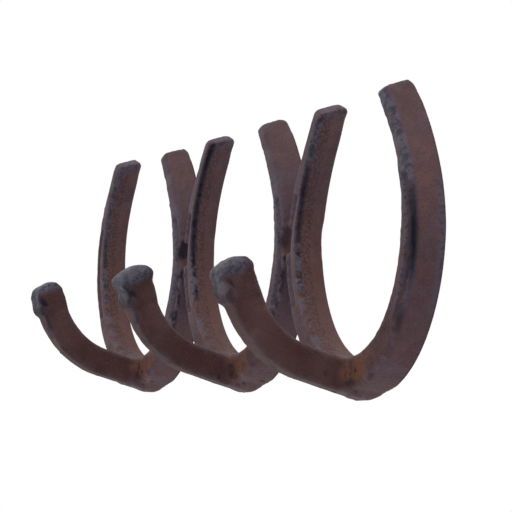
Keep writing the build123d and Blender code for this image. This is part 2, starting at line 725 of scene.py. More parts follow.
    def _right_dark(self, skin: SkinPoints) -> np.ndarray:
        """How black the band on a right branch is, partly painted shade, with blots near the toe.

        Args:
            skin: Points of the smooth skin.

        Returns:
            The blackness at each point.
        """
        along = skin.bar.along
        near_blackest = smooth_step(self.blackest_half, np.abs(along - self.blackest_turn))
        dark = smooth_step(self.right_dark_turn, along + self.turn_patches * skin.patchy)
        dark = dark * at_least(self.right_black, near_blackest)
        blots = smooth_step(self.toe_blot_level, self.toe_blots.at(skin.points))
        return largest(dark, self.toe_blot_black * blots * smooth_step(self.toe_blot_turn, along))

    def _left_dark(self, skin: SkinPoints, dotted: np.ndarray, past: np.ndarray) -> np.ndarray:
        """How black the band on a left branch is, partly painted shade: dotted at its start, flecked past
        its end.

        Args:
            skin: Points of the smooth skin.
            dotted: Noise that breaks the start of the band into dots.
            past: 1 past the end of the black band and 0 before it.

        Returns:
            The blackness at each point.
        """
        bar = skin.bar
        to_end = bar.along - bar.per_shoe(lambda shoe: shoe.left_dark_end)
        dark = smooth_step(self.left_start_turn, bar.along)
        dark = dark * (1.0 - smooth_step(self.left_past_turn, to_end + self.turn_patches * skin.patchy))
        dark = dark * np.where(bar.along < self.left_full_turn, dotted, at_least(self.left_full, dotted))
        flecks = smooth_step(self.end_fleck_level, self.end_flecks.at(skin.points))
        return largest(dark, self.end_fleck_black * past * flecks)

    def _specks(self, skin: SkinPoints) -> np.ndarray:
        """How black the specks low on a right branch are.

        Args:
            skin: Points of the smooth skin.

        Returns:
            The blackness at each point.
        """
        bar = skin.bar
        specks = smooth_step(self.speck_level, self.specks.at(skin.points)) * bar.right
        specks = specks * smooth_step(self.speck_start_turn, bar.along)
        specks = specks * smooth_step(self.speck_end_turn, bar.along)
        return specks * bar.per_shoe(lambda shoe: shoe.right_specks)

    def _rim(self, bar: BarMap) -> np.ndarray:
        """Painted reflection along the outer rim of a right branch, beside the wall.

        Args:
            bar: Where the points lie on the shoes.

        Returns:
            1 on the rim and 0 away from it.
        """
        rim = smooth_step(self.rim_back, -bar.back) * smooth_step(self.rim_out, bar.out) * bar.right
        return rim * smooth_step(self.rim_start_turn, bar.along) * smooth_step(self.rim_end_turn, bar.along)


@dataclass(frozen=True)
class HookMarksAndHighlights:
    """Black marks on the hooks and their heads, blue-grey tops that are partly worn paint and partly
    painted highlight, and a painted reflection along the noses.

    Rises are in full-size millimetres, above the neck or in front of the head's middle, or of a noise
    where their name ends in level.
    """

    nose_above: Rise = (-1.5, 1.5)
    nose_front: Rise = (4.2, 5.4)
    nose_blots: Grain = Grain(1.9, 14.2)
    nose_level: Rise = (-0.1, 0.3)
    nose_black: float = 0.75
    seam_above: Rise = (-1.0, 2.0)
    seam_end: Rise = (6.0, 9.0)
    seam_front: float = 4.8
    seam_half: Rise = (1.5, 0.5)
    seam_breaks: Grain = Grain(4.0, 44.0)
    seam_level: Rise = (-0.25, 0.15)
    seam_black: float = 0.95
    crest_above: Rise = (7.0, 8.6)
    crest_flecks: Grain = Grain(1.8, 61.0)
    crest_level: Rise = (-0.05, 0.35)
    crest_black: float = 0.3
    mark_patches: float = 0.6
    mark_flecks: float = 0.3
    scuff_facing: Rise = (0.35, 0.75)
    scuff_ahead: Rise = (14.0, 22.0)
    scuffs: Grain = Grain(3.0, 51.0, 3)
    scuff_level: Rise = (0.0, 0.35)
    scuff_black: float = 0.8
    top_above: Rise = (6.2, 10.2)
    top_start: Rise = (5.0, 7.0)
    top_level: Rise = (0.25, 0.95)
    top_flecks: float = 0.35
    top_patches: float = 0.25
    top_front: Rise = (-4.5, -2.0)
    top_front_patches: float = 1.2
    top_sheen: float = 0.75
    nose_reflection_above: Rise = (2.5, 5.5)
    nose_reflection_front: Rise = (4.9, 6.0)
    nose_reflection_patches: float = 0.6
    nose_reflection_flecks: float = 0.4
    nose_reflection: float = 0.6

    def black(self, skin: SkinPoints) -> np.ndarray:
        """Black marks: blots on the nose, the seam behind it, flecks on the crest, scuffs on the front.

        Args:
            skin: Points of the smooth skin.

        Returns:
            The blackness at each point.
        """
        bar = skin.bar
        front = bar.head_front + self.mark_patches * skin.patchy + self.mark_flecks * skin.flecks
        nose = bar.head_share(self.nose_above) * smooth_step(self.nose_front, front)
        nose = nose * smooth_step(self.nose_level, self.nose_blots.at(skin.points))
        seam = bar.head_share(self.seam_above) * (1.0 - bar.head_share(self.seam_end))
        seam = seam * smooth_step(self.seam_half, np.abs(front - self.seam_front))
        seam = seam * smooth_step(self.seam_level, self.seam_breaks.at(skin.points))
        crest = smooth_step(self.crest_level, self.crest_flecks.at(skin.points))
        crest = crest * bar.head_share(self.crest_above)
        scuffs = smooth_step(self.scuff_level, self.scuffs.at(skin.points))
        scuffs = scuffs * smooth_step(self.scuff_facing, -skin.normals[:, 1])
        scuffs = scuffs * smooth_step(self.scuff_ahead, bar.ahead)
        scuffs = scuffs * bar.per_shoe(lambda shoe: shoe.hook_wear)
        return largest(
            self.nose_black * nose,
            self.seam_black * seam,
            self.crest_black * crest,
            self.scuff_black * scuffs,
        )

    def sheen(self, skin: SkinPoints) -> np.ndarray:
        """Blue-grey on top of the heads, partly worn paint and partly painted highlight, and a painted
        reflection along the front edge of their noses.

        Args:
            skin: Points of the smooth skin.

        Returns:
            The sheen at each point.
        """
        bar = skin.bar
        # Blue-grey top of the heads: partly worn paint, partly painted highlight where light from above
        # falls
        top = self.top_flecks * skin.flecks + self.top_patches * skin.patchy
        top = smooth_step(self.top_level, top + bar.head_share(self.top_above))
        top = top * bar.head_share(self.top_start)
        top = top * smooth_step(self.top_front, bar.head_front + self.top_front_patches * skin.patchy)
        # Painted reflection along the front edge of the noses
        front = bar.head_front + self.nose_reflection_patches * skin.patchy + self.nose_reflection_flecks * skin.flecks
        nose = bar.head_share(self.nose_reflection_above) * smooth_step(self.nose_reflection_front, front)
        return largest(self.top_sheen * top, self.nose_reflection * nose)


@dataclass(frozen=True)
class FreshRust:
    """Fresh rust beside the hooks' roots, and in the screw seats rust low down and painted shade at the
    top.

    Lengths are full-size millimetres, and turns are degrees from the toe.
    """

    root_turn: float = 16.0
    root_turn_half: float = 12.0
    root_out: float = 0.6
    root_out_half: float = 4.6
    root_edge: Rise = (1.45, 0.35)
    root_patches: float = 0.7
    root_flecks: float = 0.45
    root_behind: Rise = (4.0, 2.0)
    root_ahead: Rise = (4.5, 0.0)
    root_ahead_patches: float = 2.0
    dried: float = 0.8
    seat_radius: Rise = (6.6, 4.8)
    seat_flecks: float = 0.4
    seat_ahead: Rise = (0.0, -1.5)
    seat_low: Rise = (0.5, -2.0)
    seat_low_patches: float = 0.8
    seat_rust: float = 0.5
    seat_painted_shade: Pair = (1.0, 0.25)

    def add(self, skin: SkinPoints, masks: Masks) -> None:
        """Adds the mask of the rust, and the painted shade at the top of the screw seats to that of the
        hollows.

        Args:
            skin: Points of the smooth skin.
            masks: The masks so far.
        """
        bar = skin.bar
        turn = (bar.along - self.root_turn) / self.root_turn_half
        root = np.hypot(turn, (bar.out - self.root_out) / self.root_out_half)
        root = root + self.root_patches * skin.patchy + self.root_flecks * skin.flecks
        rust = smooth_step(self.root_edge, root) * smooth_step(self.root_behind, -bar.ahead)
        rust = rust * smooth_step(self.root_ahead, bar.ahead + self.root_ahead_patches * skin.patchy)
        seat = smooth_step(self.seat_radius, bar.from_screw(skin.points) + self.seat_flecks * skin.flecks)
        seat = seat * smooth_step(self.seat_ahead, bar.ahead)
        low_seat = smooth_step(self.seat_low, skin.points[:, 2] + self.seat_low_patches * skin.patchy)
        # Painted shade at the top of each screw seat, fainter on the right
        painted_shade = seat * (1.0 - low_seat) * np.where(skin.points[:, 0] < 0.0, *self.seat_painted_shade)
        masks[Mask.RUST] = largest(rust, self.seat_rust * seat * low_seat)
        masks[Mask.HOLLOW] = largest(masks[Mask.HOLLOW] * (1.0 - self.dried * rust), painted_shade)


@dataclass(frozen=True)
class CastShape:
    """Where this casting's form departs from the CAD's: sides, toes, heels, branches and heads.

    Rises are in full-size millimetres, or in degrees from the toe where their name ends in turn.
    """

    side_gap: Rise = (1.2, 0.6)
    side_back: Rise = (-4.0, -2.5)
    side_start_turn: Rise = (14.0, 22.0)
    side_end_turn: Rise = (-3.0, -9.0)
    side_screw: Rise = (8.0, 12.0)
    side_corner: Rise = (-0.9, -0.4)
    root_below: Rise = (-0.6, 0.6)
    root_start: Rise = (-8.5, -6.0)
    root_end: Rise = (1.0, -4.0)
    root_narrow: float = 3.0
    reach_start_turn: float = 92.0
    bow_start_turn: Rise = (80.0, 112.0)
    bow_end_turn: Rise = (146.0, 118.0)
    head_start: Rise = (-3.0, 5.0)

    def applied(self, points: np.ndarray, bar: BarMap) -> np.ndarray:
        """Gives smooth points this casting's form.

        Args:
            points: Points in millimetres.
            bar: Where they lie on the shoes.

        Returns:
            The moved points.
        """
        moved = self._settled(points, bar)
        moved[:, 2] += self._root_drop(bar)
        moved += self._branch_move(bar)
        moved[:, 1] += bar.per_shoe(lambda shoe: shoe.head_shift) * bar.head_share(self.head_start)
        return moved

    def _settled(self, points: np.ndarray, bar: BarMap) -> np.ndarray:
        """Settles the sides of the bars beside the wall on their true lines, where the mesh has steps.

        Args:
            points: Points in millimetres.
            bar: Where they lie on the shoes.

        Returns:
            The moved points.
        """
        widening = 1.0 + bar.back / bar.form.depth
        outer = bar.half + bar.form.outer_flare * widening
        inner = -bar.half + bar.form.inner_lean * widening
        gap = np.where(bar.out > 0.0, outer, inner) - bar.out
        share = smooth_step(self.side_gap, np.abs(gap)) * smooth_step(self.side_back, bar.back)
        share = share * smooth_step(self.side_start_turn, bar.along)
        share = share * smooth_step(self.side_end_turn, bar.along - bar.form.heel_turn)
        share = share * smooth_step(self.side_screw, bar.from_screw(points))
        angle = np.radians(bar.turn)
        moved = points.copy()
        moved[:, 0] += gap * share * np.sin(angle)
        moved[:, 1] *= 1.0 - share * smooth_step(self.side_corner, points[:, 1])
        moved[:, 2] -= gap * share * np.cos(angle)
        return moved

    def _root_drop(self, bar: BarMap) -> np.ndarray:
        """How far the toe sinks to carry the underside of its hook on to the wall.

        Args:
            bar: Where the points lie on the shoes.

        Returns:
            The move along z at each point, in millimetres.
        """
        hook_width = bar.form.hook_width
        share = smooth_step(self.root_below, bar.out - bar.half) * smooth_step(self.root_start, bar.back)
        share = share * smooth_step(self.root_end, bar.back)
        share = share * smooth_step((hook_width, hook_width / self.root_narrow), np.abs(bar.across))
        return share * np.minimum(bar.form.hook_underside(bar.back) - bar.up, 0.0)

    def _branch_move(self, bar: BarMap) -> np.ndarray:
        """How far each branch is drawn out along its bar and bent inwards.

        Args:
            bar: Where the points lie on the shoes.

        Returns:
            The move of each point, in millimetres, one row each.
        """
        angle = np.radians(bar.along)
        pull = smooth_step((self.reach_start_turn, bar.form.heel_turn), bar.along)
        pull = pull * bar.per_branch(lambda shoe: shoe.heel_reach)
        bend = smooth_step(self.bow_start_turn, bar.along) * smooth_step(self.bow_end_turn, bar.along)
        bend = bend * bar.per_branch(lambda shoe: shoe.branch_bow)
        aside = np.sign(bar.turn) * (pull * np.cos(angle) - bend * np.sin(angle))
        return np.stack([aside, 0.0 * aside, pull * np.sin(angle) + bend * np.cos(angle)], axis=1)


@dataclass(frozen=True)
class CastSurface:
    """Sand-cast surface: lumps, ripples, grain, a parting ridge, pits, chips, blisters, rough heads.

    Heights and rises are in millimetres; a rise whose name ends in level is of a noise.
    """

    lumps: Grain = Grain(10.0, 21.7)
    lump_height: float = 0.13
    ripples: Grain = Grain(3.2, 5.2)
    ripple_height: float = 0.055
    grain: Grain = Grain(1.4, 12.9, 1)
    grain_height: float = 0.035
    stipple_grain: float = 1.4
    ridge_height: float = 0.26
    ridge_half: Rise = (0.9, 0.1)
    ridge_place: float = 0.48
    ridge_waver: float = 0.3
    ridge_facing: Rise = (0.5, 0.8)
    ridge_mean: float = 0.7
    ridge_ripple: float = 0.5
    pit_depth: float = 0.40
    band_depth: float = 0.45
    chips: Grain = Grain(4.2, 33.0)
    chip_level: Rise = (0.15, 0.7)
    chip_depth: float = 0.10
    blisters: Grain = Grain(3.4, 71.0)
    blister_level: Rise = (0.50, 0.85)
    blister_height: float = 0.20
    top_above: Rise = (7.0, 10.0)
    lip_above: Rise = (-2.0, 1.5)
    lip_end: Rise = (2.5, 8.5)
    lip_front: Rise = (2.0, 5.0)
    crest_above: Rise = (6.0, 8.5)
    crest_height: float = 0.3
    wall_back: Rise = (-0.8, -3.0)
    wall_share: float = 0.1

    def height(self, skin: SkinPoints, masks: Masks) -> np.ndarray:
        """Height of the cast surface over the smooth form, which fades out at the wall.

        Args:
            skin: Points of the smooth skin.
            masks: The skin's masks.

        Returns:
            The height at each point, in millimetres.
        """
        bar = skin.bar
        lumps = self.lumps.at(skin.points)
        ripples = self.ripples.at(skin.points)
        grain = self.grain.at(skin.points) * (1.0 + self.stipple_grain * masks[Mask.STIPPLE])
        ridge = np.abs(bar.back + self.ridge_place * bar.form.depth + self.ridge_waver * lumps)
        ridge = smooth_step(self.ridge_half, ridge) * (bar.ahead < 0.0)
        ridge = ridge * smooth_step(self.ridge_facing, np.abs(skin.normals[:, 0]))
        chips = masks[Mask.EDGE] * smooth_step(self.chip_level, self.chips.at(skin.points))
        blisters = smooth_step(self.blister_level, self.blisters.at(skin.points))
        height = self.lump_height * lumps + self.ripple_height * ripples + self.grain_height * grain
        height += self.ridge_height * ridge * (self.ridge_mean + self.ridge_ripple * ripples)
        height -= self.pit_depth * masks[Mask.PITS]
        height -= self.band_depth * masks[Mask.BAND] * (1.0 - masks[Mask.HOOK])
        height -= self.chip_depth * chips
        height += self.blister_height * blisters
        height += self._head_height(bar)
        height += self.crest_height * masks[Mask.EDGE] * bar.head_share(self.crest_above)
        return height * at_least(self.wall_share, smooth_step(self.wall_back, bar.back))

    def _head_height(self, bar: BarMap) -> np.ndarray:
        """How far the tops and lips of the hooks' heads stand out.

        Args:
            bar: Where the points lie on the shoes.

        Returns:
            The height at each point, in millimetres.
        """
        top = bar.per_shoe(lambda shoe: shoe.head_top) * bar.head_share(self.top_above)
        lip = bar.head_share(self.lip_above) * (1.0 - bar.head_share(self.lip_end))
        lip = lip * smooth_step(self.lip_front, bar.head_front)
        return top + lip * bar.per_shoe(lambda shoe: shoe.head_lip)


class EvenMesh:
    """Mesh whose points are read, smoothed and written in millimetres."""

    def __init__(self, mesh: bpy.types.Mesh) -> None:
        """Finds the neighbours of each point.

        Args:
            mesh: The mesh.
        """
        self.mesh = mesh
        pairs = np.empty(len(mesh.edges) * 2, int)
        mesh.edges.foreach_get("vertices", pairs)
        self.first = pairs[0::2]
        self.second = pairs[1::2]
        self.neighbours = np.bincount(pairs, minlength=len(mesh.vertices))

    def read(self) -> np.ndarray:
        """Reads the points.

        Returns:
            The points, one row each.
        """
        points = np.empty(len(self.mesh.vertices) * 3)
        self.mesh.vertices.foreach_get("co", points)
        return points.reshape(-1, 3) / MM

    def write(self, points: np.ndarray) -> None:
        """Puts points into the mesh.

        Args:
            points: One row per vertex.
        """
        self.mesh.vertices.foreach_set("co", (points * MM).astype(np.float32).ravel())
        self.mesh.update()

    def normals(self) -> np.ndarray:
        """Reads the normals of the vertices.

        Returns:
            One row per vertex.
        """
        normals = np.empty(len(self.mesh.vertices) * 3)
        self.mesh.vertex_normals.foreach_get("vector", normals)
        return normals.reshape(-1, 3)

    def smoothed(self, points: np.ndarray, rounds: int = 1, share: float = 0.5) -> np.ndarray:
        """Moves each point towards the mean of its neighbours.

        Args:
            points: The points.
            rounds: Number of passes.
            share: How far each point moves; below 0 to give back what was lost.

        Returns:
            The moved points.
        """
        count = len(points)
        for _ in range(rounds):
            total = np.zeros_like(points)
            for axis in range(3):
                total[:, axis] = np.bincount(self.first, points[self.second, axis], count)
                total[:, axis] += np.bincount(self.second, points[self.first, axis], count)
            points = points + share * (total / self.neighbours[:, None] - points)
        return points

    def evened(self, points: np.ndarray, rounds: int) -> np.ndarray:
        """Smooths points without shrinking the form: each pass gives back what it takes.

        Args:
            points: The points.
            rounds: Number of passes.

        Returns:
            The moved points.
        """
        taken, given = 0.55, -0.555
        for _ in range(rounds):
            points = self.smoothed(self.smoothed(points, share=taken), share=given)
        return points


@dataclass(frozen=True)
class CastSkin:
    """Sand-cast skin that stands for the CAD node: same form, with lumps, pits and softened edges.

    Lengths are millimetres, and rises whose name ends in turn are degrees from the toe or the heel.
    """

    row: ShoeRow
    shape: CastShape = CastShape()
    tone: PaintToneAndLight = PaintToneAndLight()
    bands: BandShadeWearAndHighlights = BandShadeWearAndHighlights()
    hooks: HookMarksAndHighlights = HookMarksAndHighlights()
    rust: FreshRust = FreshRust()
    surface: CastSurface = CastSurface()
    name: str = "cast_rack_skin"
    voxel: float = 0.64
    even_rounds: int = 12
    wall_rounds: int = 120
    wall_back: Rise = (-3.4, -1.6)
    root_turn: Rise = (22.0, 14.0)
    heel_rounds: int = 5
    heel_turn: Rise = (-9.0, -4.0)
    bulge_rounds: int = 18
    patches: Grain = Grain(5.0, 3.1)
    flecks: Grain = Grain(1.6, 8.4)
    box_slack: float = 3.0

    def build(self, source: bpy.types.Object, material: bpy.types.Material) -> bpy.types.Object:
        """Makes the skin and puts it in the place of the CAD node.

        Args:
            source: The CAD node's object.
            material: The finish of the skin.

        Returns:
            The new object.
        """
        skin = bpy.data.objects.new(self.name, self._remeshed(source))
        bpy.context.scene.collection.objects.link(skin)
        self._dress(skin.data)
        skin.data.materials.clear()
        skin.data.materials.append(material)
        skin.data.shade_smooth()
        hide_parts(NODE)
        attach(skin, "root")
        return skin

    def _remeshed(self, source: bpy.types.Object) -> bpy.types.Mesh:
        """Even mesh over the CAD node.

        Args:
            source: The CAD node's object.

        Returns:
            The new mesh.
        """
        helper = bpy.data.objects.new("remesh_helper", source.data.copy())
        bpy.context.scene.collection.objects.link(helper)
        remesh = helper.modifiers.new("even", "REMESH")
        remesh.mode = "VOXEL"
        remesh.voxel_size = self.voxel * MM
        shown = helper.evaluated_get(bpy.context.evaluated_depsgraph_get())
        mesh = bpy.data.meshes.new_from_object(shown)
        mesh.name = self.name
        bpy.data.objects.remove(helper)
        return mesh

    def _dress(self, mesh: bpy.types.Mesh) -> None:
        """Gives the even mesh this casting's form, its masks and its cast surface.

        Args:
            mesh: The even mesh.
        """
        even = EvenMesh(mesh)
        points, bar = self._smooth_form(even)
        even.write(points)
        normals = even.normals()
        bulge = ((points - even.smoothed(points, self.bulge_rounds)) * normals).sum(axis=1)
        skin = SkinPoints(points, normals, bulge, bar, self.patches.at(points), self.flecks.at(points))
        masks = self._masks(skin)
        for mask, values in masks.items():
            layer = mesh.attributes.new(mask.value, "FLOAT", "POINT")
            layer.data.foreach_set("value", values.astype(np.float32))
        points = points + normals * self.surface.height(skin, masks)[:, None]
        low, high = (np.array(corner) / MM for corner in CAD_BOX)
        points = np.clip(points, low - self.box_slack, high + self.box_slack)
        points[:, 1] = np.minimum(points[:, 1], 0.0)
        even.write(points)

    def _smooth_form(self, even: EvenMesh) -> tuple[np.ndarray, BarMap]:
        """Smooths the even mesh and gives it this casting's form.

        Args:
            even: The even mesh.

        Returns:
            The smooth points, and where they lay on the shoes before they took this casting's form.
        """
        points = even.smoothed(even.evened(even.read(), self.even_rounds))
        at_wall = smooth_step(self.wall_back, points[:, 1])[:, None]
        points = points + at_wall * (even.evened(points, self.wall_rounds) - points)
        bar = BarMap.of_points(points, self.row)
        points = self.shape.applied(points, bar)
        at_heel = smooth_step(self.heel_turn, bar.along - bar.form.heel_turn)[:, None]
        points = points + at_heel * (even.smoothed(points, self.heel_rounds) - points)
        at_root = at_wall * smooth_step(self.root_turn, bar.along)[:, None]
        points = points + at_root * (even.evened(points, self.wall_rounds) - points)
        return points, bar

    def _masks(self, skin: SkinPoints) -> Masks:
        """Works out all masks.

        Args:
            skin: Points of the smooth skin.

        Returns:
            The masks.
        """
        masks = self.tone.read(skin) | self.bands.read(skin)
        masks[Mask.BAND] = largest(masks[Mask.BAND], self.hooks.black(skin))
        masks[Mask.SHEEN] = largest(masks[Mask.SHEEN], self.hooks.sheen(skin))
        self.rust.add(skin, masks)
        return masks


class NodeKit:
    """Adds and links the nodes of one shader tree."""

    def __init__(self, tree: bpy.types.NodeTree) -> None:
        """Starts with an empty tree.

        Args:
            tree: The tree to fill.
        """
        self.tree = tree
        tree.nodes.clear()

    def add(self, kind: str, **inputs: object) -> bpy.types.Node:
        """Adds a node.

        Args:
            kind: The node's type.
            **inputs: Values or sockets for its inputs, by name with underscores for spaces.

        Returns:
            The node.
        """
        node = self.tree.nodes.new(kind)
        for name, value in inputs.items():
            self.feed(node.inputs[name.replace("_", " ")], value)
        return node

    def feed(self, socket: bpy.types.NodeSocket, value: object) -> None:
        """Links a socket to another, or sets its value.

        Args:
            socket: The input.
            value: An output socket, or a plain value.
        """
        if isinstance(value, bpy.types.NodeSocket):
            self.tree.links.new(value, socket)
        else:
            socket.default_value = value

    def math(self, operation: str, first: object, second: object) -> bpy.types.NodeSocket:
        """Arithmetic on two numbers.

        Args:
            operation: The operation's name.
            first: First number or socket.
            second: Second number or socket.

        Returns:
            The result, held between 0 and 1.
        """
        node = self.tree.nodes.new("ShaderNodeMath")
        node.operation = operation
        node.use_clamp = True
        self.feed(node.inputs[0], first)
        self.feed(node.inputs[1], second)
        return node.outputs[0]

    def times(self, first: object, second: object) -> bpy.types.NodeSocket:
        """Product of two numbers or sockets."""
        return self.math("MULTIPLY", first, second)

    def larger(self, first: object, second: object) -> bpy.types.NodeSocket:
        """Larger of two numbers or sockets."""
        return self.math("MAXIMUM", first, second)

    def span(self, value: bpy.types.NodeSocket, ramp: Ramp) -> bpy.types.NodeSocket:
        """Maps a range of values smoothly onto another.

        Args:
            value: The value.
            ramp: Start and end of its range, and what they become.

        Returns:
            The mapped value.
        """
        node = self.tree.nodes.new("ShaderNodeMapRange")
        node.interpolation_type = "SMOOTHSTEP"
        for name, number in zip(("From Min", "From Max", "To Min", "To Max"), ramp):
            node.inputs[name].default_value = number
        self.feed(node.inputs["Value"], value)
        return node.outputs["Result"]

    def blend(self, share: object, first: object, second: object) -> bpy.types.NodeSocket:
        """Mixes two colours.

        Args:
            share: How much of the second colour shows.
            first: First colour or socket.
            second: Second colour or socket.

        Returns:
            The mixed colour.
        """
        node = self.tree.nodes.new("ShaderNodeMix")
        node.data_type = "RGBA"
        self.feed(node.inputs[0], share)
        for socket, value in ((node.inputs[6], first), (node.inputs[7], second)):
            self.feed(socket, (*value, 1.0) if isinstance(value, tuple) else value)
        return node.outputs[2]

    def noise(self, place: bpy.types.NodeSocket, size: float, detail: float) -> bpy.types.NodeSocket:
        """Noise of a given size.

        Args:
            place: Position in metres.
            size: Size of its features, in millimetres.
            detail: Number of finer layers.

        Returns:
            The noise, between 0 and 1.
        """
        node = self.add("ShaderNodeTexNoise", Vector=place, Scale=1.0 / (size * MM), Detail=detail)
        return node.outputs["Fac"]

    def mask(self, mask: Mask) -> bpy.types.NodeSocket:
        """Mask stored on the mesh.

        Args:
            mask: Which mask.

        Returns:
            Its value.
        """
        node = self.tree.nodes.new("ShaderNodeAttribute")
        node.attribute_name = mask.value
        return node.outputs["Fac"]


class PaintNoise:
    """Noises that the paint, the wear and the bump share."""

    def __init__(self, kit: NodeKit) -> None:
        """Adds the noises, from coarse to fine.

        Args:
            kit: The material's tree.
        """
        place = kit.add("ShaderNodeTexCoord").outputs["Object"]
        self.place = place
        self.clouds = kit.noise(place, size=16.0, detail=4.0)
        self.tints = kit.noise(place, size=8.0, detail=3.0)
        self.mottle = kit.noise(place, size=4.5, detail=4.0)
        self.flecks = kit.noise(place, size=1.4, detail=2.0)
        self.specks = kit.noise(place, size=0.9, detail=2.0)
        self.grain = kit.noise(place, size=0.45, detail=2.0)


@dataclass(frozen=True)
class RustedIron:
    """Rust-brown paint on sand-cast iron, worn to a blue-black base coat, with fresh rust, and with painted
    shade, highlights and warm and cool light.

    Ramps map a noise, or a mask for hook_edges, to how much of a colour or mark shows.
    """

    deep: Colour = (0.046, 0.0200, 0.0205)
    brown: Colour = (0.074, 0.0350, 0.0345)
    pale: Colour = (0.112, 0.063, 0.060)
    lilac: Colour = (0.084, 0.0560, 0.0680)
    tan: Colour = (0.112, 0.0560, 0.0430)
    # Blue-black base coat, also used for painted shade
    base_coat_and_shade: Colour = (0.0032, 0.0034, 0.0105)
    # Blue-grey of worn paint, also used for painted highlights and reflections
    blue_grey: Colour = (0.080, 0.088, 0.122)
    fresh_rust: Colour = (0.145, 0.067, 0.041)
    hook_brown: Colour = (0.041, 0.0150, 0.0120)
    paint_roughness: float = 0.58
    blue_grey_roughness: float = 0.40
    dark_roughness: float = 0.75
    gloss: float = 0.15
    bump_strength: float = 0.9
    bump_height: float = 0.34
    bump_specks: float = 0.6
    blue_grey_share: float = 0.8
    blue_grey_patches: Ramp = (0.22, 0.42, 0.3, 1.0)
    edge_patches: Ramp = (0.42, 0.62, 0.0, 0.6)
    hook_edges: Ramp = (0.0, 1.0, 1.0, 0.35)
    band_specks: Ramp = (0.20, 0.42, 0.7, 1.0)
    blue_grey_flecks: Ramp = (0.50, 0.40, 0.0, 0.85)
    hollow_share: float = 0.75
    pit_share: float = 0.85
    mottle_share: float = 0.6
    brown_patches: Ramp = (0.36, 0.62, 0.0, 1.0)
    lilac_tints: Ramp = (0.46, 0.32, 0.0, 0.6)
    tan_tints: Ramp = (0.54, 0.70, 0.0, 0.6)
    hook_share: float = 0.85
    warm_share: float = 0.6
    cool_share: float = 0.36
    pale_clouds: Ramp = (0.36, 0.74, 0.0, 0.40)
    dot_size: float = 0.85
    dot_tops: Ramp = (0.40, 0.10, 0.0, 0.8)
    dot_gaps: Ramp = (0.40, 0.70, 0.0, 0.7)
    rust_patches: Ramp = (0.30, 0.55, 0.4, 1.0)
    stray_clouds: Ramp = (0.58, 0.70, 0.0, 1.0)
    stray_patches: Ramp = (0.52, 0.68, 0.0, 0.3)
    deep_specks: Ramp = (0.58, 0.74, 0.0, 0.6)
    deep_grain: Ramp = (0.46, 0.30, 0.0, 0.55)
    pale_grain: Ramp = (0.54, 0.70, 0.0, 0.40)

    def material(self) -> bpy.types.Material:
        """Makes the material.

        Returns:
            The material.
        """
        made = bpy.data.materials.new("rusted_iron")
        made.use_nodes = True
        kit = NodeKit(made.node_tree)
        noises = PaintNoise(kit)
        blue_grey_amount = self._blue_grey_amount(kit, noises)
        dark = self._dark(kit, noises)
        # Blue-grey for worn paint and painted highlights, then blue-black for base coat and painted shade
        colour = kit.blend(kit.times(blue_grey_amount, self.blue_grey_share), self._paint(kit, noises), self.blue_grey)
        colour = kit.blend(dark, colour, self.base_coat_and_shade)
        rough = kit.span(blue_grey_amount, (0.0, 1.0, self.paint_roughness, self.blue_grey_roughness))
        rough = kit.larger(rough, kit.times(dark, self.dark_roughness))
        relief = self._both(kit, noises.specks, noises.grain, self.bump_specks)
        bump = kit.add(
            "ShaderNodeBump", Strength=self.bump_strength, Distance=self.bump_height * MM, Height=relief
        )
        shader = kit.add(
            "ShaderNodeBsdfPrincipled",
            Base_Color=colour,
            Roughness=rough,
            Specular_IOR_Level=self.gloss,
            Normal=bump.outputs["Normal"],
        )
        kit.add("ShaderNodeOutputMaterial", Surface=shader.outputs["BSDF"])
        return made

    def _blue_grey_amount(self, kit: NodeKit, noises: PaintNoise) -> bpy.types.NodeSocket:
        """How much blue-grey shows: worn metal, and painted highlights and reflections.

        Args:
            kit: The material's tree.
            noises: Its noises.

        Returns:
            The share of blue-grey.
        """
        blue_grey = kit.times(kit.mask(Mask.SHEEN), kit.span(noises.mottle, self.blue_grey_patches))
        edge = kit.times(kit.mask(Mask.EDGE), kit.span(noises.mottle, self.edge_patches))
        edge = kit.times(edge, kit.span(kit.mask(Mask.HOOK), self.hook_edges))
        return kit.larger(blue_grey, edge)

    def _dark(self, kit: NodeKit, noises: PaintNoise) -> bpy.types.NodeSocket:
        """How much of the blue-black shows: bands, partly painted shade; darker hollows, with painted shade
        at the top of the screw seats; pits; and flecks in worn places.

        Args:
            kit: The material's tree.
            noises: Its noises.

        Returns:
            The share of base coat.
        """
        band = kit.times(kit.mask(Mask.BAND), kit.span(noises.specks, self.band_specks))
        hollow = kit.times(kit.mask(Mask.HOLLOW), self.hollow_share)
        pits = kit.times(kit.mask(Mask.PITS), self.pit_share)
        flecks = kit.times(kit.mask(Mask.SHEEN), kit.span(noises.flecks, self.blue_grey_flecks))
        return kit.larger(kit.larger(band, hollow), kit.larger(pits, flecks))

